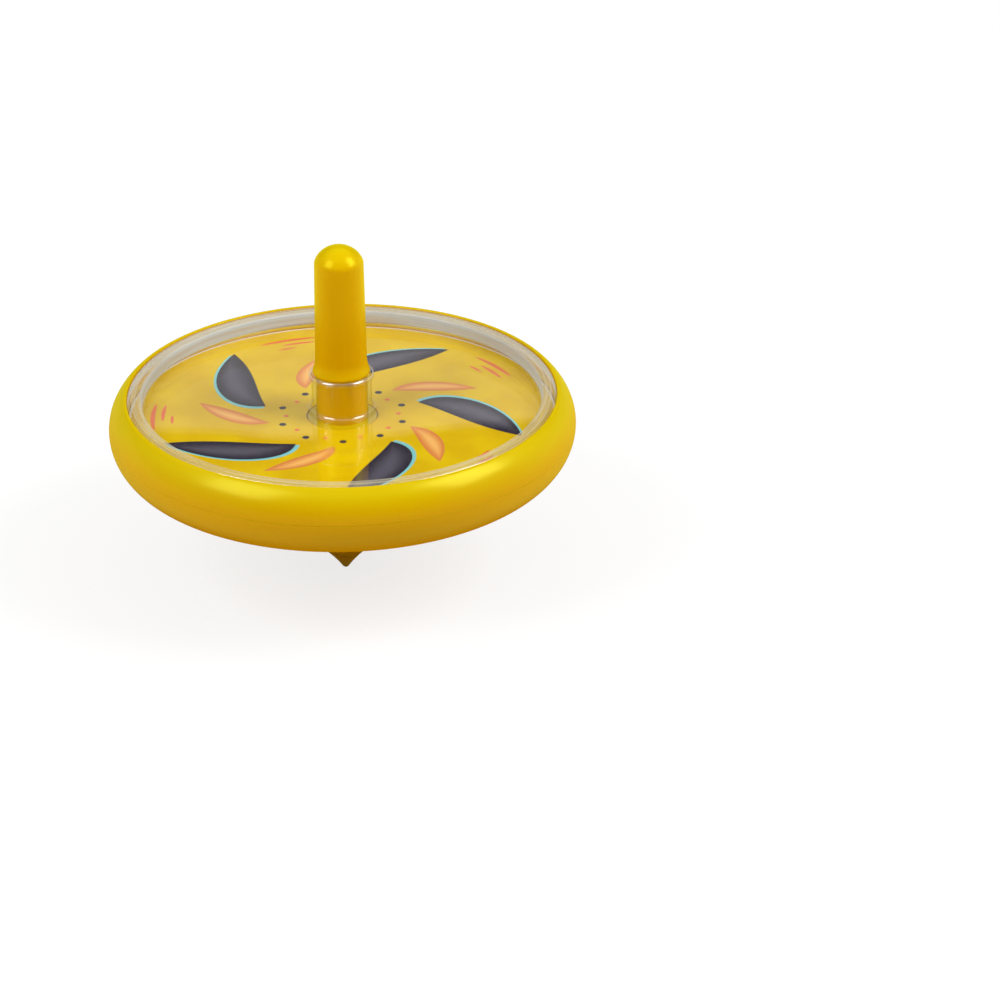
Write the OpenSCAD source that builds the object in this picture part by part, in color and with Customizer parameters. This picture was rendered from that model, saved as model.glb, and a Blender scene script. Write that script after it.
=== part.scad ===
// Twist top: a hollow two-shell disc with a fat rounded rim, a printed card under a
// clear cover, a finger stem and a pointed foot. Millimetres, +Z up, origin at the
// lowest point of the foot, every piece turned about the Z axis.

/* [Shells] */
// Diameter at the widest line of the rim
outer_d = 70; // [56:0.5:100]
// Height of the widest line above the point of the foot
equator_h = 24; // [21:0.1:30]
// Width of the rim outside the opening, seen from above
rim_w = 2.8; // [2:0.1:4]
// Radius of the rim's curve above the widest line
rim_upper_r = 6.6; // [5.6:0.05:8]
// Radius of the rim's curve below the widest line
rim_lower_r = 6.65; // [5.6:0.05:8]
// Width of the narrow flat on top of the rim, around the opening
rim_land = 0.5; // [0.2:0.05:0.8]
// Slope at which the rim turns into the flared underside, in degrees
flare_start = 12; // [8:1:18]
// Wall of the lower shell
shell_wall = 1.8; // [1.2:0.1:2.4]
// Length of the skirt that centres the upper shell in the lower one
skirt_len = 2; // [1:0.1:3]
// Wall of that skirt
skirt_wall = 1.4; // [1:0.1:2]
// Gap between the skirt and the lower shell
skirt_gap = 0.1; // [0.05:0.05:0.3]
// Width of the ledge that carries the card
ledge_w = 3.7; // [2:0.1:6]
// Thickness of that ledge
ledge_t = 1.2; // [0.8:0.1:2]

/* [Hub] */
// Wall of the hub around the stem's socket
hub_wall = 1.4; // [1:0.1:2]
// Depth of the socket that takes the stem
socket_depth = 8; // [5:0.5:10]
// Gap between the stem's spigot and that socket
socket_gap = 0.03; // [0.01:0.01:0.1]

/* [Card] */
// Thickness of the printed card
card_t = 0.4; // [0.3:0.05:0.8]
// Gap around the card, at its edge and at the hub
card_gap = 0.15; // [0.1:0.05:0.4]

/* [Cover] */
// Depth of the clear plate below the rim of the opening
plate_depth = 2.45; // [2:0.05:2.8]
// Thickness of the clear plate
plate_t = 1.1; // [0.9:0.05:1.5]
// Gap between the cover and the wall of the opening
cover_gap = 0.05; // [0.02:0.01:0.15]
// Width of the flat land on top of the lip around the plate
lip_w = 2.1; // [1.6:0.05:3]
// How far the inner wall of that lip leans out from its foot to the land
lip_lean = 0.2; // [0.1:0.05:0.6]
// Radius of the snap bead around the cover
bead_r = 0.3; // [0.2:0.05:0.4]
// Clearance between the snap bead and its groove
bead_gap = 0.05; // [0.02:0.01:0.1]
// Height of the clear collar above the plate
collar_h = 6.15; // [4:0.1:8]
// Wall of the clear collar
collar_wall = 0.6; // [0.5:0.02:0.9]
// Radius of the rounded ring on top of the collar
ring_r = 0.48; // [0.46:0.01:0.7]
// Gap between the collar and the stem's spigot
collar_gap = 0.15; // [0.1:0.01:0.25]
// Radius of the fillet at the foot of the collar
collar_fillet = 0.75; // [0.3:0.05:1.2]

/* [Stem] */
// Diameter of the stem just above its flared foot
stem_low_d = 7.76; // [7:0.02:10]
// Diameter of the stem at its shoulder
stem_top_d = 7.36; // [6:0.02:9]
// Height of the shoulder above the foot
stem_len = 17.9; // [14:0.1:24]
// Height of the domed end above the shoulder
dome_h = 2.4; // [1.5:0.05:3]
// How far the foot flares out beyond the stem
foot_flare = 0.43; // [0.2:0.01:0.6]
// Height of that flare
foot_h = 2.4; // [1:0.1:3.5]
// Thickness of the foot at its edge
foot_edge = 0.2; // [0.1:0.05:0.4]
// How far the spigot steps in from the stem
spigot_step = 0.1; // [0.05:0.01:0.4]

/* [Foot] */
// Height of the pointed foot below the lower shell
tip_h = 3.2; // [2.6:0.1:4]
// Diameter of the pointed foot where it meets the lower shell
tip_d = 6; // [5:0.1:7]
// Radius of the rounded point
tip_point_r = 0.6; // [0.4:0.05:0.9]
// Slope of the foot beside its point, in degrees
tip_slope = 51; // [46:1:58]
// Diameter of the pin on top of the pointed foot
pin_d = 3; // [2:0.1:4]
// Length of that pin
pin_len = 8; // [5:0.5:9]
// Radial running clearance of that pin in the hub
pin_gap = 0.05; // [0.02:0.01:0.08]
// Axial clearance above the pin and above the foot
thrust_gap = 0.2; // [0.1:0.05:0.4]

/* [Hidden] */
$fn = 128;

YELLOW = [0.88, 0.70, 0.0];
CLEAR = [0.86, 0.88, 0.88, 0.35];
CARD = [0.90, 0.74, 0.12];

outer_r = outer_d / 2;
opening_r = outer_r - rim_w;
tip_r = tip_d / 2;

// Centres of the rim's two curves
upper_c = [outer_r - rim_upper_r, equator_h];
lower_c = [outer_r - rim_lower_r, equator_h];

// Heights, from the rim of the opening down to the ledge
opening_z = equator_h + sqrt(pow(rim_upper_r, 2) - pow(opening_r + rim_land - upper_c.x, 2));
plate_top = opening_z - plate_depth;
plate_bottom = plate_top - plate_t;
ledge_z = plate_bottom - card_t;

// The hollow's curve inside the rim is a little fuller than an even wall would make it,
// and the skirt's lower edge stops just short of it
hollow_r = rim_lower_r - 0.95 * shell_wall;
skirt_r = lower_c.x + sqrt(pow(hollow_r, 2) - pow(skirt_len, 2)) - skirt_gap;

// The flared underside is an arc that leaves the rim's lower curve at flare_start and
// reaches the edge of the pointed foot
tip_edge = [tip_r, tip_h];
flare_dir = [sin(flare_start), -cos(flare_start)];
flare_from = lower_c + rim_lower_r * flare_dir;
flare_chord = tip_edge - flare_from;
flare_r = (flare_chord * flare_chord) / (2 * (flare_chord * flare_dir));
flare_c = flare_from + flare_r * flare_dir;

// The foot's own arc carries on from there to the rounded point
point_edge = tip_point_r * [sin(tip_slope), 1 - cos(tip_slope)];
tip_dir = (flare_c - tip_edge) / flare_r;
tip_chord = point_edge - tip_edge;
tip_arc_r = (tip_chord * tip_chord) / (2 * (tip_chord * tip_dir));
tip_arc_c = tip_edge + tip_arc_r * tip_dir;

// Stem, from the socket in the hub to the domed end
stem_low_r = stem_low_d / 2;
stem_top_r = stem_top_d / 2;
spigot_r = stem_low_r - spigot_step;
foot_r = stem_low_r + foot_flare;
socket_r = spigot_r + socket_gap;
socket_z = plate_bottom - socket_depth;
hub_r = socket_r + hub_wall;

// Cover, around the stem's spigot and inside the opening
cover_r = opening_r - cover_gap;
bead_z = (plate_top + plate_bottom) / 2;
bore_r = spigot_r + collar_gap;
collar_r = bore_r + collar_wall;
collar_top = plate_top + collar_h;

shoulder_z = collar_top + stem_len;
dome_r = (pow(stem_top_r, 2) + pow(dome_h, 2)) / (2 * dome_h);
dome_z = shoulder_z + dome_h - dome_r;
taper = (stem_top_r - stem_low_r) / (stem_len - foot_h);
foot_rise = foot_h - foot_edge;
foot_arc_r = (pow(foot_flare, 2) + pow(foot_rise, 2)) / (2 * foot_flare);

// A rectangle of the half section, between two corners
module block(low, high) {
    translate(low)
    square(high - low);
}

// A disc of the half section, at a point
module disc(c, r) {
    translate(c)
    circle(r);
}

// Half section of the lower shell before its underside is cut, up to the widest line
module bowl_blank() {
    block([0, tip_h], [flare_from.x, equator_h]);
    intersection() {
        disc(lower_c, rim_lower_r);
        block([lower_c.x, 0], [outer_d, equator_h]);
    }
}

// Half section of the hollow between the hub and the wall
module bowl_hollow() {
    difference() {
        union() {
            block([hub_r, tip_h], [lower_c.x + hollow_r * flare_dir.x, opening_z]);
            disc(lower_c, hollow_r);
        }
        disc(flare_c, flare_r + shell_wall);
    }
}

module bowl() {
    color(YELLOW)
    rotate_extrude()
    difference() {
        union() {
            difference() {
                bowl_blank();
                bowl_hollow();
            }
            block([0, tip_h], [hub_r, plate_bottom]);
        }
        disc(flare_c, flare_r);
        block([0, socket_z - thrust_gap], [socket_r, plate_top]);
        block([0, 0], [pin_d / 2 + pin_gap, tip_h + pin_len + thrust_gap]);
    }
}

module rim_ring() {
    color(YELLOW)
    rotate_extrude()
    difference() {
        union() {
            intersection() {
                disc(upper_c, rim_upper_r);
                block([skirt_r - skirt_wall, equator_h], [outer_d, opening_z]);
            }
            block([skirt_r - skirt_wall, equator_h - skirt_len], [skirt_r, ledge_z]);
            block([opening_r - ledge_w, ledge_z - ledge_t], [skirt_r - skirt_wall / 2, plate_bottom]);
        }
        block([0, ledge_z], [opening_r, opening_z + rim_w]);
        disc([cover_r, bead_z], bead_r + bead_gap);
    }
}

module print_card() {
    color(CARD)
    rotate_extrude()
    block([hub_r + card_gap, ledge_z], [opening_r - card_gap, plate_bottom]);
}

// Half section of the cover's plate and the lip around it
module dish_section() {
    difference() {
        block([bore_r, plate_bottom], [cover_r, opening_z]);
        polygon([
            [0, plate_top],
            [cover_r - lip_w - lip_lean, plate_top],
            [cover_r - lip_w, opening_z],
            [0, opening_z]
        ]);
    }
}

module clear_cover() {
    color(CLEAR)
    rotate_extrude()
    difference() {
        union() {
            dish_section();
            block([bore_r, plate_bottom], [collar_r, collar_top - ring_r]);
            disc([bore_r, collar_top] + ring_r * [1, -1], ring_r);
            block([bore_r, plate_bottom], [collar_r, plate_top] + collar_fillet * [1, 1]);
            disc([cover_r, bead_z], bead_r);
        }
        disc([collar_r, plate_top] + collar_fillet * [1, 1], collar_fillet);
    }
}

// Half section of the flared foot, hollowed by an arc that runs into the grip
module foot_section() {
    difference() {
        block([0, collar_top], [foot_r, collar_top + foot_h]);
        disc([stem_low_r + foot_arc_r, collar_top + foot_h], foot_arc_r);
    }
}

// Half section of the grip: its straight taper, carried on past the shoulder and cut by
// the domed end
module grip_section() {
    intersection() {
        polygon([
            [0, collar_top],
            [stem_low_r, collar_top],
            [stem_low_r, collar_top + foot_h],
            [stem_top_r + taper * dome_r, shoulder_z + dome_r],
            [0, shoulder_z + dome_r]
        ]);
        union() {
            block([0, collar_top], [dome_r, dome_z]);
            disc([0, dome_z], dome_r);
        }
    }
}

module stem() {
    color(YELLOW)
    rotate_extrude()
    union() {
        block([0, socket_z], [spigot_r, collar_top + foot_edge]);
        foot_section();
        grip_section();
    }
}

module tip() {
    color(YELLOW)
    rotate_extrude()
    union() {
        difference() {
            block([0, point_edge.y], [tip_r, tip_h - thrust_gap]);
            disc(tip_arc_c, tip_arc_r);
        }
        intersection() {
            disc([0, tip_point_r], tip_point_r);
            block([0, 0], [tip_point_r, tip_point_r]);
        }
        block([0, tip_h - 2 * thrust_gap], [pin_d / 2, tip_h + pin_len]);
    }
}

bowl();
rim_ring();
print_card();
clear_cover();
stem();
tip();
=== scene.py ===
"""Looks of a finger-spun top: two yellow shells, a printed card under a clear cover, a
stem and a pointed foot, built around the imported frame.

Metres, +Z up, origin at the point of the foot. Sizes are written in millimetres, angles in
degrees.
"""

from __future__ import annotations

import logging
import math
from dataclasses import dataclass
from enum import Enum
from typing import Any

import bmesh
import bpy
from mathutils import Euler, Matrix, Vector

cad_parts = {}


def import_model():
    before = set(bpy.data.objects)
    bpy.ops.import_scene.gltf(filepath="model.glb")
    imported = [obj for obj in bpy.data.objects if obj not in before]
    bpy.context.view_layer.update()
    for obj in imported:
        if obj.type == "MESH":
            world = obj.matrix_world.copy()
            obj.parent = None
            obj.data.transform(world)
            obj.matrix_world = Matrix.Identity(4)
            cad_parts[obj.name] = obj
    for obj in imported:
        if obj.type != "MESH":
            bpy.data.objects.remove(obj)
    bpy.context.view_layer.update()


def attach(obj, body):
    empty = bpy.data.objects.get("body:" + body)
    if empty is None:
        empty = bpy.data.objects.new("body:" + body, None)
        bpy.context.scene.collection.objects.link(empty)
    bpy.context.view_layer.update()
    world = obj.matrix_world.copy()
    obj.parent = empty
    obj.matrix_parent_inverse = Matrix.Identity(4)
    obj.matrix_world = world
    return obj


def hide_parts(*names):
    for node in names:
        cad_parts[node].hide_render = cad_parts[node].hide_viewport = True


LOG = logging.getLogger("spinning_top")
MM = 0.001
IMAGE_SIDE = 1000
NOISE_MIDDLE = 0.5
CLOUD_DETAIL = 3.0
MOST_OUTLINE_POINTS = 4096
WELD_DISTANCE = MM / 1000

Point = tuple[float, float]
Span = tuple[float, float]
Corner = tuple[float, float, float]
Way = tuple[float, float, float]
Colour = tuple[float, float, float, float]


class Body(str, Enum):
    """The bodies of the frame that pieces ride on."""

    TOP = "top"
    TIP = "tip"


class Slot(str, Enum):
    """The material slots."""

    YELLOW = "yellow_plastic"
    CARD = "printed_card"
    CLEAR = "clear_plastic"


def srgb(red: int, green: int, blue: int) -> Colour:
    """A colour in linear light from 8-bit display values.

    Args:
        red: Display red, 0 to 255.
        green: Display green, 0 to 255.
        blue: Display blue, 0 to 255.

    Returns:
        The linear colour with full alpha.
    """

    def linear(level: int) -> float:
        """One channel in linear light, by the sRGB formula."""
        share = level / 255
        return share / 12.92 if share <= 0.04045 else ((share + 0.055) / 1.055) ** 2.4

    return (linear(red), linear(green), linear(blue), 1.0)


def grey(level: float) -> Colour:
    """A grey of one level in linear light."""
    return (level, level, level, 1.0)


# Node trees and shader arithmetic


class Graph:
    """A node tree and the one way in which nodes are added to it."""

    def __init__(self, tree: bpy.types.NodeTree) -> None:
        """Empties a tree and keeps it."""
        self.tree = tree
        tree.nodes.clear()

    def node(
        self,
        kind: str,
        settings: dict[str, Any] | None = None,
        sockets: dict[str | int, Any] | None = None,
    ) -> bpy.types.Node:
        """Adds a node.

        Args:
            kind: The node's type.
            settings: Properties of the node, set first; "stops" fills a colour ramp.
            sockets: Values, sockets or terms for its inputs, by name or number.

        Returns:
            The new node.
        """
        node = self.tree.nodes.new(kind)
        for name, value in (settings or {}).items():
            if name == "stops":
                self._fill_ramp(node, value)
            else:
                setattr(node, name, value)
        for key, value in (sockets or {}).items():
            source = value.socket if isinstance(value, Term) else value
            if isinstance(source, bpy.types.NodeSocket):
                self.tree.links.new(source, node.inputs[key])
            else:
                node.inputs[key].default_value = source
        return node

    @staticmethod
    def _fill_ramp(node: bpy.types.Node, stops: list[tuple[float, Colour]]) -> None:
        """Gives a colour ramp its stops.

        Args:
            node: The ramp's node.
            stops: Each stop's place, 0 to 1, and its colour, in order.
        """
        elements = node.color_ramp.elements
        while len(elements) < len(stops):
            elements.new(1.0)
        for element, (place, colour) in zip(elements, stops):
            element.position = place
            element.color = colour

    def term(
        self,
        kind: str,
        output: str | int = 0,
        settings: dict[str, Any] | None = None,
        sockets: dict[str | int, Any] | None = None,
    ) -> Term:
        """Adds a node and wraps one of its outputs.

        Args:
            kind: The node's type.
            output: The output's name or number.
            settings: As for node.
            sockets: As for node.

        Returns:
            The output as a term.
        """
        return Term(self, self.node(kind, settings, sockets).outputs[output])

    def vector(self, operation: str, sockets: dict[str | int, Any]) -> bpy.types.NodeSocket:
        """The result of one Vector Math node."""
        settings = {"operation": operation}
        return self.node("ShaderNodeVectorMath", settings, sockets).outputs[0]

    def joined(self, x: Any, y: Any) -> bpy.types.NodeSocket:
        """A level vector from its two parts."""
        return self.node("ShaderNodeCombineXYZ", sockets={0: x, 1: y, 2: 0.0}).outputs[0]

    def split(self, vector: bpy.types.NodeSocket) -> tuple[Term, Term, Term]:
        """The three parts of a vector."""
        parts = self.node("ShaderNodeSeparateXYZ", sockets={0: vector}).outputs
        return Term(self, parts[0]), Term(self, parts[1]), Term(self, parts[2])

    def place(self) -> bpy.types.NodeSocket:
        """The place on the piece in its own frame, in millimetres."""
        here = self.node("ShaderNodeTexCoord").outputs["Object"]
        return self.vector("SCALE", {0: here, "Scale": 1 / MM})

    def noise(self, place: Any, size: float, detail: float = 2.0) -> Term:
        """Smooth noise, 0 to 1, around its middle.

        Args:
            place: The place vector, in millimetres.
            size: Width of one patch, in millimetres.
            detail: Octaves of finer noise on top.

        Returns:
            The noise as a term.
        """
        sockets = {"Vector": place, "Scale": 1 / size, "Detail": detail}
        return self.term("ShaderNodeTexNoise", "Fac", sockets=sockets)

    def bump(self, height: Term, strength: float, depth: float) -> bpy.types.NodeSocket:
        """A normal that follows a fine relief.

        Args:
            height: The relief, 0 to 1.
            strength: How much of it shows.
            depth: Its depth in millimetres.

        Returns:
            The normal's socket.
        """
        sockets = {"Strength": strength, "Distance": depth * MM, "Height": height}
        return self.node("ShaderNodeBump", sockets=sockets).outputs[0]

    def aslant(self) -> Term:
        """0 where a face is seen square on, 1 where it is seen edge on, for gloss."""
        return self.term("ShaderNodeLayerWeight", "Facing")

    def blend(self, share: Any, first: Any, second: Any) -> bpy.types.NodeSocket:
        """A colour between two others.

        Args:
            share: 0 for the first colour, 1 for the second.
            first: A colour or a socket.
            second: A colour or a socket.

        Returns:
            The mixed colour's socket.
        """
        settings = {"data_type": "RGBA"}
        node = self.node("ShaderNodeMix", settings, {0: share, 6: first, 7: second})
        return node.outputs[2]

    def shader(self, kind: str, sockets: dict[str | int, Any]) -> bpy.types.NodeSocket:
        """Adds a shader node and gives its output."""
        return self.node(kind, sockets=sockets).outputs[0]

    def shader_mix(self, share: Any, first: Any, second: Any) -> bpy.types.NodeSocket:
        """A shader between two others, as blend is for colours."""
        return self.shader("ShaderNodeMixShader", {0: share, 1: first, 2: second})


class Term:
    """A value socket in Python arithmetic: each operator adds one Math node."""

    def __init__(self, graph: Graph, socket: bpy.types.NodeSocket) -> None:
        """Wraps a socket of a graph."""
        self.graph = graph
        self.socket = socket

    def _math(self, operation: str, *values: Any) -> Term:
        """The result of one Math node on the values."""
        settings = {"operation": operation}
        return self.graph.term("ShaderNodeMath", 0, settings, dict(enumerate(values)))

    def __add__(self, other: Any) -> Term:
        """Sum."""
        return self._math("ADD", self, other)

    __radd__ = __add__

    def __sub__(self, other: Any) -> Term:
        """Difference."""
        return self._math("SUBTRACT", self, other)

    def __rsub__(self, other: Any) -> Term:
        """Difference, from a number."""
        return self._math("SUBTRACT", other, self)

    def __mul__(self, other: Any) -> Term:
        """Product."""
        return self._math("MULTIPLY", self, other)

    __rmul__ = __mul__

    def __truediv__(self, other: Any) -> Term:
        """Quotient."""
        return self._math("DIVIDE", self, other)

    def __rtruediv__(self, other: Any) -> Term:
        """Quotient, of a number."""
        return self._math("DIVIDE", other, self)

    def __pow__(self, other: float) -> Term:
        """Power."""
        return self._math("POWER", self, other)

    def __gt__(self, other: Any) -> Term:
        """1 where this is greater, else 0."""
        return self._math("GREATER_THAN", self, other)

    def __abs__(self) -> Term:
        """Size without sign."""
        return self._math("ABSOLUTE", self)

    def call(self, operation: str, *others: Any) -> Term:
        """Any other operation of the Math node, such as SINE or MAXIMUM."""
        return self._math(operation, self, *others)

    def rise(self, low: float, high: float) -> Term:
        """Goes smoothly from 0 to 1 between two values.

        Args:
            low: Where it starts to rise.
            high: Where it reaches 1.

        Returns:
            The share as a term.
        """
        settings = {"interpolation_type": "SMOOTHSTEP"}
        sockets = {"Value": self, "From Min": low, "From Max": high}
        return self.graph.term("ShaderNodeMapRange", 0, settings, sockets)

    def fall(self, low: float, high: float) -> Term:
        """Goes smoothly from 1 to 0 between two values, as rise does upwards."""
        return 1 - self.rise(low, high)


def from_axis(x: Term, y: Term) -> Term:
    """Distance from the spin axis."""
    return (x * x + y * y).call("SQRT")


def blank_finish(name: str) -> tuple[bpy.types.Material, Graph]:
    """A new material and its emptied node tree.

    Args:
        name: The material's name.

    Returns:
        The material and its tree.
    """
    made = bpy.data.materials.new(name)
    made.use_nodes = True
    return made, Graph(made.node_tree)


# Outlines and the lathe


def arc(
    centre: Point, radius: float, start: float, end: float, step: float = 3.0
) -> list[Point]:
    """Points along an arc of a half section, both ends among them.

    Args:
        centre: Its centre, as radius and height.
        radius: Its radius.
        start: First angle in degrees, 0 outwards and 90 up.
        end: Last angle.
        step: Widest angle between two points.

    Returns:
        The points.
    """
    count = max(2, math.ceil(abs(end - start) / step))
    angles = [math.radians(start + (end - start) * i / count) for i in range(count + 1)]
    return [
        (centre[0] + radius * math.cos(a), centre[1] + radius * math.sin(a)) for a in angles
    ]


def sharp(points: list[Point]) -> list[Corner]:
    """Corners that stay as they are."""
    return [(r, z, 0.0) for r, z in points]


def eased(
    corners: list[Corner], closed: bool, steps: int = 5, guard: float = 0.2
) -> list[Point]:
    """Rounds the corners of an outline, with a guard point on either side of each rounding
    that keeps the faces beside it flat in the smooth shading.

    Args:
        corners: Radius, height and how far back from the corner its rounding starts.
        closed: True if the last corner is joined to the first.
        steps: Faces along one rounding.
        guard: How far beyond a rounding its guard point lies, as a share of its start.

    Returns:
        The outline's points, with the first repeated at the end of a closed one.
    """
    points: list[Point] = []
    for i, (r, z, back) in enumerate(corners):
        if back == 0:
            points.append((r, z))
            continue
        here = Vector((r, z))
        before = Vector(corners[i - 1][:2])
        after = Vector(corners[(i + 1) % len(corners)][:2])
        start = here + (before - here).normalized() * back
        end = here + (after - here).normalized() * back
        points.append(tuple(start * (1 + guard) - here * guard))
        for k in range(steps + 1):
            t = k / steps
            spot = start * (1 - t) ** 2 + here * 2 * t * (1 - t) + end * t**2
            points.append((spot.x, spot.y))
        points.append(tuple(end * (1 + guard) - here * guard))
    return points + points[:1] if closed else points


class Lathe:
    """Turns half sections into solids with one Geometry Nodes tree."""

    def __init__(self) -> None:
        """Builds the tree: rings of the outline around Z, welded and shaded."""
        self.tree = bpy.data.node_groups.new("lathe", "GeometryNodeTree")
        kinds = {
            "Outline": "NodeSocketGeometry",
            "Segments": "NodeSocketInt",
            "Crease Angle": "NodeSocketFloat",
            "Finish": "NodeSocketMaterial",
        }
        self.inputs: dict[str, str] = {}
        for name, kind in kinds.items():
            socket = self.tree.interface.new_socket(name, in_out="INPUT", socket_type=kind)
            self.inputs[name] = socket.identifier
        self.tree.interface.new_socket(
            "Solid", in_out="OUTPUT", socket_type="NodeSocketGeometry"
        )
        graph = Graph(self.tree)
        given = graph.node("NodeGroupInput").outputs
        rings = self._rings(graph, given)
        dressed = self._dressed(graph, given, rings)
        graph.node("NodeGroupOutput", sockets={0: dressed})

    @staticmethod
    def _rings(graph: Graph, given: bpy.types.NodeOutputs) -> bpy.types.NodeSocket:
        """Adds the nodes that turn the outline around Z.

        Args:
            graph: The tree.
            given: The tree's inputs.

        Returns:
            The rings, with their seam and poles still open.
        """
        rows = graph.node("GeometryNodeAttributeDomainSize", sockets={0: given["Outline"]})
        columns = Term(graph, given["Segments"]) + 1
        grid = graph.node(
            "GeometryNodeMeshGrid",
            sockets={"Vertices X": columns, "Vertices Y": rows.outputs["Point Count"]},
        )
        index = graph.term("GeometryNodeInputIndex")
        count = Term(graph, rows.outputs["Point Count"])
        column = (index / count + 0.5 / MOST_OUTLINE_POINTS).call("FLOOR")
        row = index - column * count
        spot = graph.node(
            "GeometryNodeSampleIndex",
            {"data_type": "FLOAT_VECTOR", "domain": "POINT"},
            {
                "Geometry": given["Outline"],
                "Value": graph.node("GeometryNodeInputPosition").outputs[0],
                "Index": row,
            },
        )
        angle = column * math.tau / Term(graph, given["Segments"])
        turned = graph.node(
            "ShaderNodeVectorRotate",
            {"rotation_type": "Z_AXIS"},
            {"Vector": spot.outputs[0], "Angle": angle},
        )
        rings = graph.node(
            "GeometryNodeSetPosition",
            sockets={"Geometry": grid.outputs["Mesh"], "Position": turned.outputs[0]},
        )
        return rings.outputs[0]

    @staticmethod
    def _dressed(
        graph: Graph, given: bpy.types.NodeOutputs, rings: bpy.types.NodeSocket
    ) -> bpy.types.NodeSocket:
        """Adds the nodes that weld, shade and dress the rings.

        Args:
            graph: The tree.
            given: The tree's inputs.
            rings: The open rings.

        Returns:
            The finished solid.
        """
        welded = graph.node(
            "GeometryNodeMergeByDistance",
            sockets={"Geometry": rings, "Distance": WELD_DISTANCE},
        )
        smooth = graph.node(
            "GeometryNodeSetShadeSmooth",
            {"domain": "FACE"},
            {"Geometry": welded.outputs[0], "Shade Smooth": True},
        )
        bend = graph.term("GeometryNodeInputMeshEdgeAngle", "Unsigned Angle")
        creased = graph.node(
            "GeometryNodeSetShadeSmooth",
            {"domain": "EDGE"},
            {
                "Geometry": smooth.outputs[0],
                "Selection": bend > Term(graph, given["Crease Angle"]),
                "Shade Smooth": False,
            },
        )
        real = graph.node("GeometryNodeRealizeInstances", sockets={0: creased.outputs[0]})
        dressed = graph.node(
            "GeometryNodeSetMaterial",
            sockets={"Geometry": real.outputs[0], "Material": given["Finish"]},
        )
        return dressed.outputs[0]

    def turn(
        self,
        name: str,
        outline: list[Point],
        finish: bpy.types.Material,
        segments: int,
        crease: float = 28.0,
    ) -> bpy.types.Object:
        """Makes one solid of revolution.

        Args:
            name: The piece's name.
            outline: Its half section in millimetres, anticlockwise.
            finish: Its material.
            segments: Faces around the axis.
            crease: Edges that bend by more than this many degrees stay sharp.

        Returns:
            The piece as a plain mesh at the origin.
        """
        mesh = bpy.data.meshes.new(name + "_outline")
        edges = [(i, i + 1) for i in range(len(outline) - 1)]
        mesh.from_pydata([(r * MM, 0, z * MM) for r, z in outline], edges, [])
        piece = bpy.data.objects.new(name, mesh)
        bpy.context.scene.collection.objects.link(piece)
        modifier = piece.modifiers.new("lathe", "NODES")
        modifier.node_group = self.tree
        modifier[self.inputs["Segments"]] = segments
        modifier[self.inputs["Crease Angle"]] = math.radians(crease)
        modifier[self.inputs["Finish"]] = finish
        depsgraph = bpy.context.evaluated_depsgraph_get()
        solid = bpy.data.meshes.new_from_object(piece.evaluated_get(depsgraph))
        piece.modifiers.clear()
        piece.data = solid
        solid.name = name
        bpy.data.meshes.remove(mesh)
        return piece


# Finishes


@dataclass(frozen=True)
class MouldedPlastic:
    """Glossy moulded plastic with painted light and shade: yellow, as lit, where a face looks
    up, and deeper orange, as shaded, where it looks sideways or down.

    A lift is how far up a face looks, 0 straight down and 1 straight up. The gloss begins
    over a span of the normal's height, -1 to 1.
    """

    name: str = "yellow_plastic"
    # Painted light and shade: up is the lit colour of faces that look up; side and under are
    # the shaded colours of faces that look sideways and down.
    up: Colour = srgb(196, 168, 0)
    side: Colour = srgb(201, 147, 0)
    under: Colour = srgb(204, 142, 0)
    top_lit_lift: float = 0.82
    side_shaded_lift: float = 0.55
    under_shaded_lift: float = 0.2
    sheen: Colour = (0.9, 0.98, 0.14, 1.0)
    gloss: float = 0.032
    gloss_aslant: float = 0.22
    polished: Span = (-0.8, -0.3)
    roughness: float = 0.24
    roughness_swing: float = 0.06
    skin_roughness: float = 0.5
    skin_swing: float = 0.2
    cloud_size: float = 9.0
    cloud_tone: float = 0.08
    peel_size: float = 0.35
    peel_detail: float = 1.0
    peel_strength: float = 0.05
    peel_depth: float = 0.02

    def material(self) -> bpy.types.Material:
        """Builds the material.

        Returns:
            The material.
        """
        made, graph = blank_finish(self.name)
        place = graph.place()
        _, _, facing_up = graph.split(graph.node("ShaderNodeTexCoord").outputs["Normal"])
        cloud = graph.noise(place, self.cloud_size, CLOUD_DETAIL)
        peel = graph.noise(place, self.peel_size, self.peel_detail)
        # Painted light and shade: the ramp picks the colour by which way the face looks, lit
        # on top and shaded on the sides and underside.
        lift = facing_up * 0.5 + (0.5 - self.cloud_tone / 2) + cloud * self.cloud_tone
        stops = [
            (self.under_shaded_lift, self.under),
            (self.side_shaded_lift, self.side),
            (self.top_lit_lift, self.up),
        ]
        tone = graph.term("ShaderNodeValToRGB", 0, {"stops": stops}, {0: lift})
        normal = graph.bump(peel, self.peel_strength, self.peel_depth)
        skin = graph.shader(
            "ShaderNodeBsdfPrincipled",
            {
                "Base Color": tone,
                "Roughness": self.skin_roughness + (cloud - NOISE_MIDDLE) * self.skin_swing,
                "Specular IOR Level": 0.0,
                "Normal": normal,
            },
        )
        shine = graph.shader(
            "ShaderNodeBsdfGlossy",
            {
                "Color": self.sheen,
                "Roughness": self.roughness + (cloud - NOISE_MIDDLE) * self.roughness_swing,
                "Normal": normal,
            },
        )
        polish = facing_up.rise(*self.polished)
        share = (graph.aslant() ** 2 * self.gloss_aslant + self.gloss) * polish
        shown = graph.shader_mix(share, skin, shine)
        graph.node("ShaderNodeOutputMaterial", sockets={0: shown})
        return made


@dataclass(frozen=True)
class Whirl:
    """One ring of equal marks around the card, bent back by swirl radians a millimetre."""

    count: int
    middle_r: float
    half_length: float
    half_width: float
    phase: float = 0.0
    swirl: float = 0.0


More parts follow.
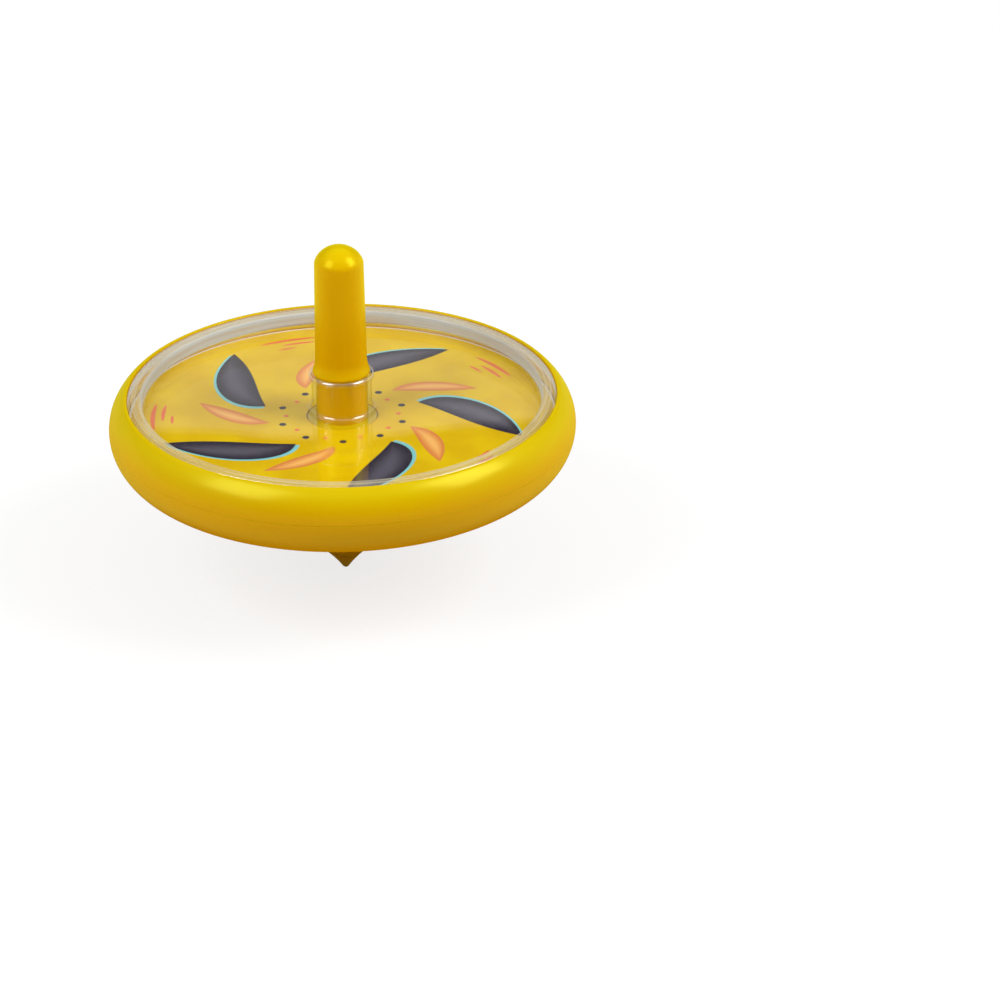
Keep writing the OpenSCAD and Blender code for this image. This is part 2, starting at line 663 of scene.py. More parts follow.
@dataclass(frozen=True)
class Dial:
    """The card's face as distance from the axis and bearing, and the marks drawn on it."""

    radius: Term
    bearing: Term

    def _along(self, whirl: Whirl) -> Term:
        """Millimetres along the ring from the middle of the nearest mark.

        Args:
            whirl: The ring of marks.

        Returns:
            The distance as a term.
        """
        turned = self.bearing + (self.radius - whirl.middle_r) * whirl.swirl
        share = (turned * (whirl.count / math.tau) + whirl.phase).call("FRACT")
        return (share - 0.5) * (math.tau / whirl.count) * self.radius

    def _reach(self, whirl: Whirl) -> Term:
        """Distance from the ring's middle, 1 at the end of a mark."""
        return (self.radius - whirl.middle_r) / whirl.half_length

    def blade(self, whirl: Whirl, shift: float = 0.0) -> Term:
        """Distance from a blade with pointed ends, 1 on its edge.

        Args:
            whirl: The ring of blades.
            shift: How far along the ring each one is moved.

        Returns:
            The distance as a term.
        """
        reach = self._reach(whirl)
        return abs(self._along(whirl) - shift) / whirl.half_width + reach * reach

    def oval(self, whirl: Whirl) -> Term:
        """Distance from a rounded mark, 1 on its edge.

        Args:
            whirl: The ring of marks.

        Returns:
            The distance as a term.
        """
        reach = self._reach(whirl)
        side = self._along(whirl) / whirl.half_width
        return (reach * reach + side * side).call("SQRT")


@dataclass(frozen=True)
class PrintedCard:
    """Card with a pinwheel of curved blades, arcs and dots printed on yellow."""

    name: str = "printed_card"
    ground: Colour = srgb(214, 180, 2)
    ground_deep: Colour = srgb(204, 166, 0)
    ink: Colour = srgb(46, 41, 54)
    ink_light: Colour = srgb(84, 80, 92)
    blue: Colour = srgb(122, 188, 190)
    tan: Colour = srgb(206, 124, 62)
    tan_light: Colour = srgb(232, 176, 96)
    red: Colour = srgb(214, 104, 62)
    paper: Colour = srgb(214, 206, 186)
    arcs: tuple[Whirl, ...] = (
        Whirl(count=5, middle_r=28.4, half_length=0.36, half_width=4.6, phase=0.02),
        Whirl(count=5, middle_r=26.9, half_length=0.30, half_width=2.8, phase=0.06),
        Whirl(count=5, middle_r=25.5, half_length=0.24, half_width=1.5, phase=0.99),
    )
    petals: Whirl = Whirl(5, 16.6, half_length=5.6, half_width=2.1, phase=0.02, swirl=0.04)
    blades: Whirl = Whirl(5, 20.0, half_length=8.0, half_width=4.0, phase=0.5, swirl=0.04)
    ink_dots: Whirl = Whirl(count=10, middle_r=9.4, half_length=0.55, half_width=0.55)
    red_dots: Whirl = Whirl(10, 8.4, half_length=0.4, half_width=0.4, phase=0.5)
    blue_shift: float = 0.7
    soft_edge: Span = (0.85, 1.1)
    petal_edge: Span = (0.94, 1.02)
    blade_edge: Span = (0.97, 1.02)
    petal_shade: Span = (0.0, 0.95)
    blade_shade: Span = (0.05, 0.95)
    margin: Span = (31.6, 31.75)
    cloud_size: float = 6.0
    cloud_span: Span = (0.3, 0.75)
    fibre_size: float = 0.22
    fibre_span: Span = (0.62, 0.8)
    fibre_fleck: float = 0.12
    fibre_strength: float = 0.15
    fibre_depth: float = 0.02
    roughness: float = 0.5
    roughness_swing: float = 0.2
    specular: float = 0.02

    def material(self) -> bpy.types.Material:
        """Builds the material.

        Returns:
            The material.
        """
        made, graph = blank_finish(self.name)
        place = graph.place()
        x, y, _ = graph.split(place)
        radius = from_axis(x, y)
        cloud = graph.noise(place, self.cloud_size, CLOUD_DETAIL)
        fibre = graph.noise(place, self.fibre_size)
        ground = graph.blend(cloud.rise(*self.cloud_span), self.ground_deep, self.ground)
        colour = self._printed(graph, Dial(radius, y.call("ARCTAN2", x)), ground)
        colour = graph.blend(radius.rise(*self.margin), colour, self.paper)
        fleck = fibre.rise(*self.fibre_span) * self.fibre_fleck
        shown = graph.shader(
            "ShaderNodeBsdfPrincipled",
            {
                "Base Color": graph.blend(fleck, colour, self.paper),
                "Roughness": self.roughness + (fibre - NOISE_MIDDLE) * self.roughness_swing,
                "Specular IOR Level": self.specular,
                "Normal": graph.bump(fibre, self.fibre_strength, self.fibre_depth),
            },
        )
        graph.node("ShaderNodeOutputMaterial", sockets={0: shown})
        return made

    def _printed(
        self, graph: Graph, dial: Dial, ground: bpy.types.NodeSocket
    ) -> bpy.types.NodeSocket:
        """Prints the marks on the ground, from the outermost ring inwards.

        Args:
            graph: The material's tree.
            dial: The card's face.
            ground: The colour to print on.

        Returns:
            The printed colour.
        """
        colour = ground
        for ring in self.arcs:
            colour = graph.blend(dial.oval(ring).fall(*self.soft_edge), colour, self.red)
        petal = dial.blade(self.petals)
        petal_tone = graph.blend(petal.rise(*self.petal_shade), self.tan_light, self.tan)
        colour = graph.blend(petal.fall(*self.petal_edge), colour, petal_tone)
        behind = dial.blade(self.blades, self.blue_shift)
        colour = graph.blend(behind.fall(*self.blade_edge), colour, self.blue)
        blade = dial.blade(self.blades)
        blade_tone = graph.blend(blade.rise(*self.blade_shade), self.ink_light, self.ink)
        colour = graph.blend(blade.fall(*self.blade_edge), colour, blade_tone)
        for ring, tone in ((self.ink_dots, self.ink), (self.red_dots, self.red)):
            colour = graph.blend(dial.oval(ring).fall(*self.soft_edge), colour, tone)
        return colour


@dataclass(frozen=True)
class CoverZones:
    """A place on the cover and the zones that it lies in, 1 inside and 0 outside."""

    x: Term
    y: Term
    height: Term
    radius: Term
    collar: Term
    collar_ring: Term
    collar_foot: Term
    lip: Term
    raised: Term
    wall: Term
    edge: Term
    outside: Term
    outer_side: Term


@dataclass(frozen=True)
class ClearPlastic:
    """Clear moulded plastic: see-through, mirror smooth, and milky in its thick lip; the milk
    is in part painted reflection of light that the lip reflects inside itself.

    A zone begins or ends over a span of distance from the axis or of height. The spans
    foot_top and raised_from are heights above the plate.
    """

    name: str = "clear_plastic"
    tint: Colour = (0.996, 1.0, 0.998, 1.0)
    # Painted reflection in part: the milk's grey stands in for light that the lip reflects
    # inside itself, and on the outer side its colour and share are wholly painted reflection.
    milk: Colour = srgb(183, 188, 190)
    milk_warm: Colour = srgb(197, 189, 162)
    back_painted_reflection: Colour = srgb(196, 197, 198)
    milk_least: float = 0.22
    milk_most: float = 0.46
    wall_milk_and_reflection: float = 0.46
    outer_painted_reflection: float = 0.85
    milk_roughness: float = 0.5
    milk_swing: float = 0.1
    milk_specular: float = 0.05
    edge_clearing: float = 0.5
    light_through: float = 0.9
    plate_z: float = 26.557
    foot_top: Span = (0.5, 0.7)
    raised_from: Span = (0.3, 0.8)
    side_top: Span = (28.5, 28.7)
    ring_from: Span = (31.7, 31.8)
    collar_to: Span = (5.3, 5.4)
    lip_from: Span = (29.3, 29.8)
    wall_to: Span = (30.05, 30.25)
    edge_from: Span = (31.45, 31.65)
    outside_from: Span = (32.0, 32.1)
    head_on: float = 0.035
    most: float = 0.25
    ring_glint: float = 0.18
    foot_glint: float = 0.08
    edge_glint: float = 0.12
    crown: float = math.radians(2.0) / 30.0
    wave_size: float = 14.0
    wave_detail: float = 1.0
    wave_lean: float = 0.004
    speck_size: float = 1.4
    speck_span: Span = (0.62, 0.9)
    speck_haze: float = 0.05
    roughness: float = 0.02
    lip_haze: float = 0.35
    edge_polish: float = 0.25
    streaks_around: float = 1.6
    streaks_across: float = 2.0
    streaks_up: float = 1.2
    streak_span: Span = (0.36, 0.62)

    def material(self) -> bpy.types.Material:
        """Builds the material.

        Returns:
            The material.
        """
        made, graph = blank_finish(self.name)
        place = graph.place()
        speck = graph.noise(place, self.speck_size, CLOUD_DETAIL)
        shadow = graph.term("ShaderNodeLightPath", "Is Shadow Ray")
        zones = self._zones(graph, place)
        mirror = self._mirror(graph, zones) * (1 - shadow)
        see = graph.shader("ShaderNodeBsdfTransparent", {"Color": self.tint})
        clear = graph.shader_mix(mirror, see, self._shine(graph, place, zones, speck))
        share = self._milkiness(graph, zones) * (1 - shadow * self.light_through)
        shown = graph.shader_mix(share, clear, self._milk(graph, zones, speck))
        graph.node("ShaderNodeOutputMaterial", sockets={0: shown})
        return made

    def _zones(self, graph: Graph, place: bpy.types.NodeSocket) -> CoverZones:
        """Finds the zones of the cover.

        Args:
            graph: The material's tree.
            place: The place on the cover.

        Returns:
            The zones.
        """
        x, y, height = graph.split(place)
        radius = from_axis(x, y)
        raised = height.rise(*(self.plate_z + rise for rise in self.raised_from))
        outside = radius.rise(*self.outside_from)
        return CoverZones(
            x=x,
            y=y,
            height=height,
            radius=radius,
            collar=radius.fall(*self.collar_to),
            collar_ring=height.rise(*self.ring_from),
            collar_foot=height.fall(*(self.plate_z + rise for rise in self.foot_top)),
            lip=radius.rise(*self.lip_from),
            raised=raised,
            wall=radius.fall(*self.wall_to),
            edge=radius.rise(*self.edge_from) * raised,
            outside=outside,
            outer_side=outside * (height.fall(*self.side_top) * raised),
        )

    def _mirror(self, graph: Graph, zones: CoverZones) -> Term:
        """How much the face mirrors, most where it is seen aslant and on rounded edges.

        Args:
            graph: The material's tree.
            zones: The zones of the cover.

        Returns:
            The share of the mirror.
        """
        mirror = (graph.aslant() ** 5 + self.head_on).call("MINIMUM", self.most)
        glints = zones.collar_ring * self.ring_glint + zones.collar_foot * self.foot_glint
        return mirror + zones.collar * glints + zones.edge * self.edge_glint

    def _shine(
        self, graph: Graph, place: bpy.types.NodeSocket, zones: CoverZones, speck: Term
    ) -> bpy.types.NodeSocket:
        """The mirror on a plate that is crowned and a little wavy, and hazy on its lip.

        Args:
            graph: The material's tree.
            place: The place on the cover.
            zones: The zones of the cover.
            speck: Fine noise.

        Returns:
            The mirror's shader.
        """
        wave = graph.noise(place, self.wave_size, self.wave_detail) - NOISE_MIDDLE
        sway = zones.y * self.crown + wave * self.wave_lean
        flat = graph.node("ShaderNodeNewGeometry").outputs["Normal"]
        bowed = graph.vector("ADD", {0: flat, 1: graph.joined(zones.x * self.crown, sway)})
        smooth = self.roughness + speck.rise(*self.speck_span) * self.speck_haze
        haze = zones.lip * (self.lip_haze - zones.edge * self.edge_polish)
        return graph.shader(
            "ShaderNodeBsdfGlossy",
            {"Roughness": smooth + haze, "Normal": graph.vector("NORMALIZE", {0: bowed})},
        )

    def _milk(self, graph: Graph, zones: CoverZones, speck: Term) -> bpy.types.NodeSocket:
        """The pale clouding of the lip, greyer on its inner wall and its outer side. The
        clouding is in part painted reflection, and on the outer side wholly so: it stands in
        for light that the lip reflects inside itself.

        Args:
            graph: The material's tree.
            zones: The zones of the cover.
            speck: Fine noise.

        Returns:
            The clouding's shader.
        """
        tone = graph.blend(zones.wall, self.milk_warm, self.milk)
        return graph.shader(
            "ShaderNodeBsdfPrincipled",
            {
                "Base Color": graph.blend(zones.outer_side, tone, self.back_painted_reflection),
                "Roughness": self.milk_roughness + speck * self.milk_swing,
                "Specular IOR Level": self.milk_specular,
            },
        )

    def _milkiness(self, graph: Graph, zones: CoverZones) -> Term:
        """How cloudy the lip is, in streaks around it, counted once where a ray enters. The
        extra shares on the inner wall and the outer side are painted reflection.

        Args:
            graph: The material's tree.
            zones: The zones of the cover.

        Returns:
            The share of the clouding.
        """
        around = zones.y.call("ARCTAN2", zones.x) * self.streaks_around
        across = zones.radius * self.streaks_across - zones.height * self.streaks_up
        streak = graph.noise(graph.joined(across, around), 1.0).rise(*self.streak_span)
        cloudy = streak * (self.milk_most - self.milk_least) + self.milk_least
        entering = 1 - graph.term("ShaderNodeNewGeometry", "Backfacing")
        once = entering * (1 - zones.edge * self.edge_clearing)
        inside = zones.lip * zones.raised * (1 - zones.outside)
        # Painted reflection: the share added on the inner wall in part, and the whole share
        # on the outer side.
        thick = inside * (cloudy + zones.wall * self.wall_milk_and_reflection) * once
        return thick + zones.outer_side * self.outer_painted_reflection


# Pieces


@dataclass
class Shells:
    """The two shells that make the body: the rim with its ledge, and the flared bowl."""

    outer_r: float = 35.0
    equator: float = 24.0
    upper_round: float = 6.6
    lower_round: float = 6.65
    opening_r: float = 32.2
    opening_z: float = 29.007
    rim_land: float = 0.5
    ledge_z: float = 25.057
    ledge_r: float = 28.5
    ledge_t: float = 1.2
    skirt_r: float = 32.767
    skirt_t: float = 1.4
    skirt_len: float = 2.0
    groove: Point = (32.15, 26.007)
    groove_r: float = 0.35
    wall: float = 1.8
    hollow_round: float = 4.94
    hollow_start: float = -0.5
    flare_start: float = 12.0
    side_end: float = -0.2
    foot: Point = (3.0, 3.2)
    bore_r: float = 1.55
    bore_top: float = 11.4
    hub_r: float = 5.21
    hub_top: float = 25.43
    hub_ease: float = 0.15
    socket_r: float = 3.81
    socket_z: float = 17.257
    seam_gap: float = 0.02
    seam_ease: float = 0.05
    crest_ease: float = 0.2
    edge_ease: float = 0.16
    segments: int = 192

    def rim_outline(self) -> list[Point]:
        """Half section of the upper shell.

        Returns:
            Its outline in millimetres.
        """
        inner = self.skirt_r - self.skirt_t
        foot_z = self.equator - self.skirt_len
        ledge_low = self.ledge_z - self.ledge_t
        centre = (self.outer_r - self.upper_round, self.equator)
        reach = (self.opening_r + self.rim_land - centre[0]) / self.upper_round
        curve = arc(centre, self.upper_round, 0, math.degrees(math.acos(reach)))
        dip = math.degrees(math.acos((self.opening_r - self.groove[0]) / self.groove_r))
        corners: list[Corner] = [
            (inner, foot_z, 0.0),
            (self.skirt_r, foot_z, 0.0),
            (self.skirt_r, self.equator, 0.0),
            (*curve[0], self.seam_ease),
            *sharp(curve[1:-1]),
            (*curve[-1], self.crest_ease),
            (self.opening_r, self.opening_z, self.edge_ease),
            *sharp(arc(self.groove, self.groove_r, dip, -dip, step=15.0)),
            (self.opening_r, self.ledge_z, 0.0),
            (self.ledge_r, self.ledge_z, 0.0),
            (self.ledge_r, ledge_low, 0.0),
            (inner, ledge_low, 0.0),
        ]
        return eased(corners, closed=True)

    def flare(self) -> tuple[Vector, float]:
        """The arc of the underside, from the rim's lower curve to the foot.

        Returns:
            Its centre and its radius.
        """
        centre = Vector((self.outer_r - self.lower_round, self.equator))
        lead = math.radians(self.flare_start - 90)
        aim = Vector((math.cos(lead), math.sin(lead)))
        start = centre + aim * self.lower_round
        chord = Vector(self.foot) - start
        radius = chord.length_squared / (2 * chord.dot(aim))
        return start + aim * radius, radius

    def bowl_outline(self) -> list[Point]:
        """Half section of the lower shell.

        Returns:
            Its outline in millimetres.
        """
        flare_c, flare_r = self.flare()
        centre = (self.outer_r - self.lower_round, self.equator)
        to_foot = Vector(self.foot) - flare_c
        foot_angle = math.degrees(math.atan2(to_foot.y, to_foot.x))
        rim_angle = self.flare_start + 90
        lift = flare_r + self.wall
        hub_angle = math.degrees(math.acos((self.hub_r - flare_c.x) / lift))
        span = self.lower_round + flare_r
        inner = self.hollow_round
        past = math.degrees(math.acos((lift**2 + span**2 - inner**2) / (2 * lift * span)))
        short = math.degrees(math.acos((inner**2 + span**2 - lift**2) / (2 * inner * span)))
        top_z = self.equator - self.seam_gap
        side = arc(centre, self.lower_round, self.flare_start - 90, self.side_end)
        hollow = arc(centre, inner, self.hollow_start, self.flare_start - 90 + short)
        under = arc(tuple(flare_c), flare_r, foot_angle, rim_angle, step=1.0)
        corners: list[Corner] = [
            (0.0, self.bore_top, 0.0),
            (self.bore_r, self.bore_top, 0.0),
            (self.bore_r, self.foot[1], 0.0),
            *sharp(under[:-1]),
            *sharp(side[:-1]),
            (self.outer_r, top_z, self.seam_ease),
            (centre[0] + inner, top_z, 0.0),
            *sharp(hollow[:-1]),
            *sharp(arc(tuple(flare_c), lift, rim_angle - past, hub_angle)),
            (self.hub_r, self.hub_top, self.hub_ease),
            (self.socket_r, self.hub_top, self.hub_ease),
            (self.socket_r, self.socket_z, 0.0),
            (0.0, self.socket_z, 0.0),
        ]
        return eased(corners, closed=False)

    def build(self, lathe: Lathe, finish: bpy.types.Material) -> list[bpy.types.Object]:
        """Makes both shells.

        Args:
            lathe: The lathe.
            finish: Their plastic.

        Returns:
            The rim and the bowl.
        """
        rim = lathe.turn("rim_shell", self.rim_outline(), finish, self.segments)
        bowl = lathe.turn("bowl_shell", self.bowl_outline(), finish, self.segments)
        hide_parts("rim_ring")
        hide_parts("bowl")
        return [rim, bowl]


@dataclass
class CoveredCard:
    """The printed card and the clear cover that holds it down."""

    card_in: float = 5.36
    card_out: float = 32.05
    card_low: float = 25.057
    card_top: float = 25.427
    card_ease: float = 0.03
    bore_r: float = 3.93
    cover_r: float = 32.15
    cover_ease: float = 0.08
    plate_low: float = 25.457
    plate_top: float = 26.557
    lip_foot_r: float = 29.85
    lip_foot_ease: float = 0.5
    lip_edge_r: float = 30.05
    lip_edge_ease: float = 0.4
    lip_top: float = 29.007
    lip_out_ease: float = 0.5
    bead_r: float = 0.3
    collar_r: float = 4.53
    collar_top: float = 32.707
    ring_r: float = 0.48
    collar_fillet: float = 0.75
    fillet_guard: float = 0.2
    segments: int = 192

    def card_outline(self) -> list[Point]:
        """Half section of the card.

        Returns:
            Its outline in millimetres.
        """
        corners: list[Corner] = [
            (self.card_in, self.card_low, self.card_ease),
            (self.card_out, self.card_low, self.card_ease),
            (self.card_out, self.card_top, self.card_ease),
            (self.card_in, self.card_top, self.card_ease),
        ]
        return eased(corners, closed=True, steps=2)

    def cover_outline(self) -> list[Point]:
        """Half section of the cover.

        Returns:
            Its outline in millimetres.
        """
        bead = (self.cover_r, (self.plate_low + self.plate_top) / 2)
        fillet = (self.collar_r + self.collar_fillet, self.plate_top + self.collar_fillet)
        crest = (self.bore_r + self.ring_r, self.collar_top - self.ring_r)
        ring_foot = -math.degrees(math.acos((self.collar_r - crest[0]) / self.ring_r))
        corners: list[Corner] = [
            (self.bore_r, self.plate_low, 0.0),
            (self.cover_r, self.plate_low, self.cover_ease),
            *sharp(arc(bead, self.bead_r, -90, 90, step=15.0)),
            (self.cover_r, self.lip_top, self.lip_out_ease),
            (self.lip_edge_r, self.lip_top, self.lip_edge_ease),
            (self.lip_foot_r, self.plate_top, self.lip_foot_ease),
            (fillet[0] + self.fillet_guard, self.plate_top, 0.0),
            *sharp(arc(fillet, self.collar_fillet, -90, -180, step=9.0)),
            *sharp(arc(crest, self.ring_r, ring_foot, 180, step=9.0)),
        ]
        return eased(corners, closed=True)

    def build(
        self, lathe: Lathe, card_finish: bpy.types.Material, clear: bpy.types.Material
    ) -> list[bpy.types.Object]:
        """Makes the card and its cover.

        Args:
            lathe: The lathe.
            card_finish: The printed card's material.
            clear: The cover's plastic.

        Returns:
            The card and the cover.
        """
        card = lathe.turn("whirl_card", self.card_outline(), card_finish, self.segments)
        cover = lathe.turn("dish_cover", self.cover_outline(), clear, self.segments)
        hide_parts("print_card")
        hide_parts("clear_cover")
        return [card, cover]


@dataclass
class FingerStem:
    """The tapered grip with its domed end, flared foot and hidden spigot."""

    spigot_r: float = 3.78
    spigot_z: float = 17.457
    spigot_ease: float = 0.3
    foot_z: float = 32.707
    foot_r: float = 4.31
    foot_edge: float = 0.2
    foot_ease: float = 0.08
    foot_h: float = 2.4
    cove_guard: float = 0.3
    low_r: float = 3.88
    top_r: float = 3.68
    shoulder_z: float = 50.607
    shoulder_ease: float = 0.4
    dome_h: float = 2.4
    dome_inset: float = 0.5
    segments: int = 96

    def outline(self) -> list[Point]:
        """Half section of the stem.

        Returns:
            Its outline in millimetres.
        """
        dome_r = (self.top_r**2 + self.dome_h**2) / (2 * self.dome_h)
        dome_c = (0.0, self.shoulder_z + self.dome_h - dome_r)
        edge = math.degrees(math.acos(self.top_r / dome_r))
        rise = self.foot_h - self.foot_edge
        flare = self.foot_r - self.low_r
        cove_r = (flare**2 + rise**2) / (2 * flare)
        cove_top = self.foot_z + self.foot_h
        cove_c = (self.low_r + cove_r, cove_top)
        cove_angle = 180 + math.degrees(math.asin(rise / cove_r))
        dome = arc(dome_c, dome_r, edge, 90, step=5.0)
        taper = (self.low_r - self.top_r) / (self.shoulder_z - self.foot_z - self.foot_h)
        guard = self.cove_guard
        corners: list[Corner] = [
            (0.0, self.spigot_z, 0.0),
            (self.spigot_r, self.spigot_z, self.spigot_ease),
            (self.spigot_r, self.foot_z, 0.0),
            (self.foot_r, self.foot_z, self.foot_ease),
            *sharp(arc(cove_c, cove_r, cove_angle, 180)),
            (self.low_r - guard * taper, cove_top + guard, 0.0),
            (*dome[0], self.shoulder_ease),
            *sharp([p for p in dome[:-1] if p[0] < self.top_r - self.dome_inset]),
            (0.0, self.shoulder_z + self.dome_h, 0.0),
        ]
        return eased(corners, closed=False)

    def build(self, lathe: Lathe, finish: bpy.types.Material) -> list[bpy.types.Object]:
        """Makes the stem.

        Args:
            lathe: The lathe.
            finish: Its plastic.

        Returns:
            The stem.
        """
        stem = lathe.turn("finger_stem", self.outline(), finish, self.segments)
        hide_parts("stem")
        return [stem]


@dataclass
class PointedFoot:
    """The foot that the top spins on, with the pin that holds it in the hub."""

    point_r: float = 0.6
    slope: float = 51.0
    edge: Point = (3.0, 3.2)
    edge_ease: float = 0.06
    top_z: float = 3.1
    pin_r: float = 1.5
    pin_top: float = 11.2
    pin_ease: float = 0.2
    segments: int = 96

    def outline(self, shells: Shells) -> list[Point]:
        """Half section of the foot, whose side carries on the bowl's flare.

        Args:
            shells: The shells above it.

        Returns:
            Its outline in millimetres.
        """
        flare_c, _ = shells.flare()
        edge = Vector(self.edge)
        inward = (flare_c - edge).normalized()
        point = arc((0.0, self.point_r), self.point_r, -90, self.slope - 90, step=6.0)
        span = Vector(point[-1]) - edge
        side_r = span.length_squared / (2 * span.dot(inward))
        side_c = edge + inward * side_r
        ends = [Vector(point[-1]) - side_c, edge - side_c]
        low, high = (math.degrees(math.atan2(v.y, v.x)) for v in ends)
        side = arc(tuple(side_c), side_r, low, high, step=2.0)[1:]
        drop = self.top_z - side_c.y
        rim = side_c.x - math.sqrt(side_r**2 - drop**2)
        corners: list[Corner] = [
            (0.0, 0.0, 0.0),
            *sharp(point[1:]),
            *sharp([p for p in side if p[1] < self.top_z]),
            (rim, self.top_z, self.edge_ease),
            (self.pin_r, self.top_z, 0.0),
            (self.pin_r, self.pin_top, self.pin_ease),
            (0.0, self.pin_top, 0.0),
        ]
        return eased(corners, closed=False)

    def build(
        self, lathe: Lathe, finish: bpy.types.Material, shells: Shells
    ) -> list[bpy.types.Object]:
        """Makes the foot.

        Args:
            lathe: The lathe.
            finish: Its plastic.
            shells: The shells above it.

        Returns:
            The foot.
        """
        foot = lathe.turn("spin_foot", self.outline(shells), finish, self.segments)
        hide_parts("tip")
        return [foot]


# Studio


@dataclass(frozen=True)
class SoftBox:
    """A square soft light: the way to it from the object, and metres and watts."""

    name: str
    aim: Way
    watts: float
    side: float = 0.42
    distance: float = 0.8

    def hang(self, target: Vector) -> None:
        """Hangs the light.

        Args:
            target: The place that it looks at, in metres.
        """
        data = bpy.data.lights.new(self.name, "AREA")
        data.shape = "SQUARE"
        data.size = self.side
        data.energy = self.watts
        lamp = bpy.data.objects.new(self.name, data)
        way = Vector(self.aim).normalized()
        lamp.location = target + way * self.distance
        lamp.rotation_mode = "QUATERNION"
        lamp.rotation_quaternion = way.to_track_quat("Z", "Y")
        bpy.context.scene.collection.objects.link(lamp)


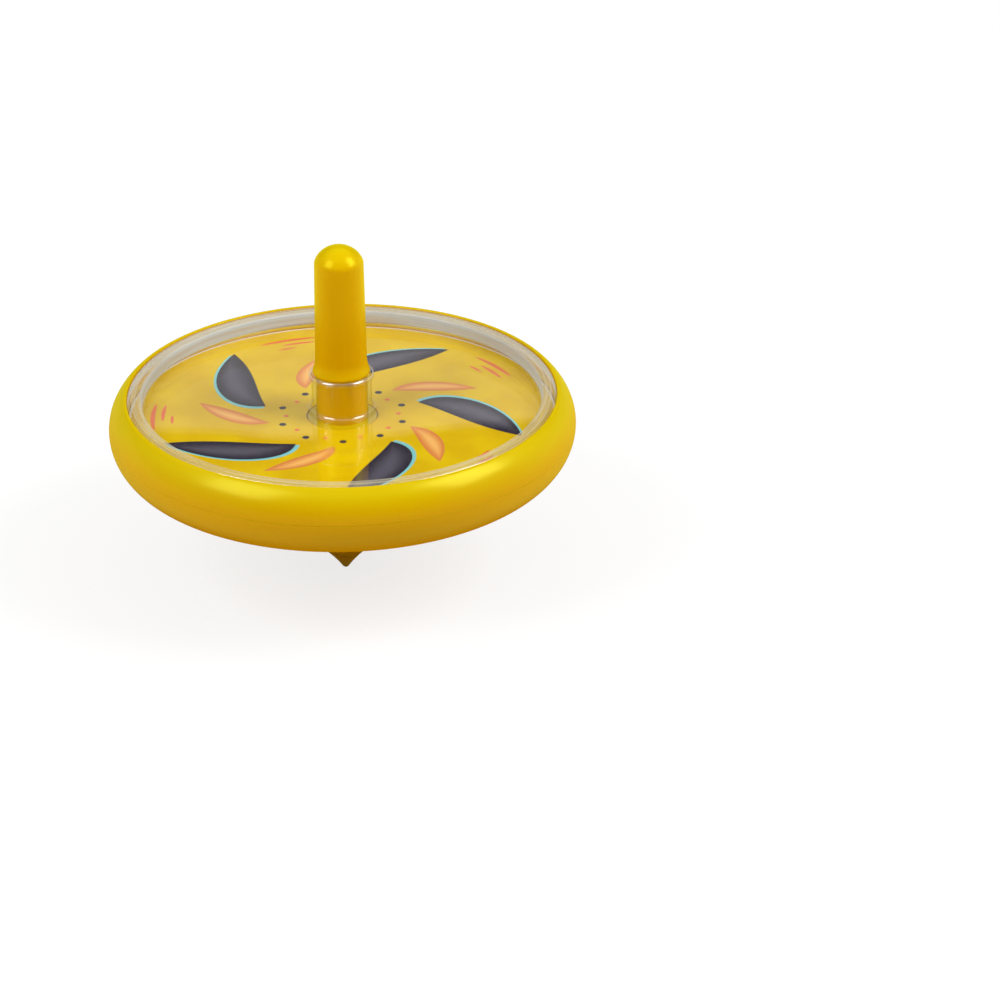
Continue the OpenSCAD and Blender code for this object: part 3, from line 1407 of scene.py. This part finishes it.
@dataclass
class Studio:
    """Floor, light and camera, as the photograph has them.

    The world's strengths are in units of white, its heights and turns in degrees.
    """

    elevation: float = 25.3
    roll: float = 1.36
    distance: float = 900.0
    scale: float = 6.666
    centre_px: Point = (342.6, 423.3)
    centre_z: float = 24.0
    sensor: float = 36.0
    clip: Span = (0.05, 50.0)
    floor_side: float = 8.0
    floor_grey: float = 0.58
    floor_pale: float = 0.9
    floor_glow: float = 0.78
    base_light: float = 0.03
    front_span: Span = (-0.1, 0.6)
    front_light: float = 0.07
    sides_span: Span = (0.3, 0.8)
    sides_light: float = 0.62
    sides_tilt: float = 0.15
    tent_span: Span = (36.0, 48.0)
    tent_light: float = 0.7
    sweep_top: float = 26.92
    sweep_slope: float = 0.32
    sweep_round: float = 0.5
    sweep_edge: Span = (-0.15, 0.15)
    sweep_light: float = 0.55
    boxes: tuple[SoftBox, ...] = (
        SoftBox("left_box", aim=(-0.634, -0.398, 0.661), watts=4.1),
        SoftBox("right_box", aim=(0.704, -0.2, 0.682), watts=4.7),
    )

    def camera(self) -> None:
        """Places the camera so that the body lies where the photograph has it."""
        lean = math.radians(self.elevation)
        back = Vector((0, -math.cos(lean), math.sin(lean)))
        up = Vector((0, math.sin(lean), math.cos(lean)))
        level = Matrix((Vector((1, 0, 0)), up, back)).transposed()
        focal = self.scale * self.distance
        half = IMAGE_SIDE / 2
        right = math.atan((half - self.centre_px[0]) / focal)
        down = math.atan((half - self.centre_px[1]) / focal)
        aim = (
            level.to_4x4()
            @ Matrix.Rotation(math.radians(-self.roll), 4, "Z")
            @ Euler((-down, -right, 0)).to_matrix().to_4x4()
        )
        data = bpy.data.cameras.new("camera")
        data.sensor_width = self.sensor
        data.lens = self.sensor * focal / IMAGE_SIDE
        data.clip_start, data.clip_end = self.clip
        camera = bpy.data.objects.new("camera", data)
        spot = (Vector((0, 0, self.centre_z)) + back * self.distance) * MM
        camera.matrix_world = Matrix.Translation(spot) @ aim
        bpy.context.scene.collection.objects.link(camera)
        bpy.context.scene.camera = camera

    def floor(self) -> None:
        """Lays the pale floor, white to the camera but for the soft shadow."""
        mesh = bpy.data.meshes.new("floor")
        shape = bmesh.new()
        bmesh.ops.create_grid(shape, x_segments=1, y_segments=1, size=self.floor_side / 2)
        shape.to_mesh(mesh)
        shape.free()
        floor = bpy.data.objects.new("floor", mesh)
        bpy.context.scene.collection.objects.link(floor)
        made, graph = blank_finish("pale_floor")
        paths = graph.node("ShaderNodeLightPath").outputs
        seen = Term(graph, paths["Is Camera Ray"])
        for name in ("Is Glossy Ray", "Is Transmission Ray"):
            seen = seen.call("MAXIMUM", Term(graph, paths[name]))
        lighting = graph.shader("ShaderNodeBsdfDiffuse", {0: grey(self.floor_grey)})
        pale = graph.shader("ShaderNodeBsdfDiffuse", {0: grey(self.floor_pale)})
        glow = graph.shader("ShaderNodeEmission", {0: grey(1.0)})
        white = graph.shader_mix(self.floor_glow, pale, glow)
        shown = graph.shader_mix(seen, lighting, white)
        graph.node("ShaderNodeOutputMaterial", sockets={0: shown})
        mesh.materials.append(made)

    def world(self) -> None:
        """A tent of light overhead and a white sweep behind, with a dark band between."""
        world = bpy.data.worlds.new("studio")
        world.use_nodes = True
        graph = Graph(world.node_tree)
        x, y, z = graph.split(graph.node("ShaderNodeTexCoord").outputs["Generated"])
        height = z.call("ARCSINE") * math.degrees(1)
        turn = x.call("ARCTAN2", y) * math.degrees(1)
        bow = (turn * turn + self.sweep_round).call("SQRT") * self.sweep_slope
        sweep = (self.sweep_top - bow - height).rise(*self.sweep_edge)
        tent = height.rise(*self.tent_span)
        front = (0 - y).rise(*self.front_span)
        sides = (x * x).rise(*self.sides_span) * (x * self.sides_tilt + self.sides_light)
        near = self.base_light + front * self.front_light + sides
        light = near + sweep * self.sweep_light + tent * self.tent_light
        shader = graph.shader("ShaderNodeBackground", {"Color": grey(1.0), "Strength": light})
        graph.node("ShaderNodeOutputWorld", sockets={0: shader})
        bpy.context.scene.world = world

    def build(self) -> None:
        """Sets up the floor, the light and the camera."""
        self.floor()
        self.world()
        for box in self.boxes:
            box.hang(Vector((0, 0, self.centre_z * MM)))
        self.camera()
        bpy.context.scene.view_settings.view_transform = "Standard"


def enrol(pieces: list[bpy.types.Object], body: Body) -> None:
    """Puts pieces on a body and reports them.

    Args:
        pieces: The pieces.
        body: The body that they ride on.
    """
    for piece in pieces:
        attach(piece, body.value)
        shape = bmesh.new()
        shape.from_mesh(piece.data)
        volume = shape.calc_volume(signed=True) / MM**3
        loose = sum(1 for e in shape.edges if not e.is_manifold)
        shape.free()
        faces = len(piece.data.polygons)
        LOG.info("%s: %d faces, %.1f mm3, %d open edges", piece.name, faces, volume, loose)


def main() -> None:
    """Builds the top around its frame."""
    logging.basicConfig(level=logging.INFO, format="%(name)s: %(message)s")
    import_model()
    lathe = Lathe()
    yellow = MouldedPlastic().material()
    # The grip's painted light and shade: up is its lit colour and side its shaded colour.
    grip = MouldedPlastic(
        name="grip_plastic",
        up=srgb(202, 173, 0),
        side=srgb(208, 153, 0),
        top_lit_lift=1.0,
        side_shaded_lift=0.5,
        sheen=(0.9, 0.98, 0.05, 1.0),
        gloss_aslant=0.5,
    ).material()
    clear = ClearPlastic().material()
    shells = Shells()
    covered = CoveredCard().build(lathe, PrintedCard().material(), clear)
    enrol(shells.build(lathe, yellow), Body.TOP)
    enrol(covered[:1], Body.TOP)
    enrol(covered[1:], Body.TOP)
    enrol(FingerStem().build(lathe, grip), Body.TOP)
    enrol(PointedFoot().build(lathe, yellow, shells), Body.TIP)
    Studio().build()


if __name__ == "__main__":
    main()
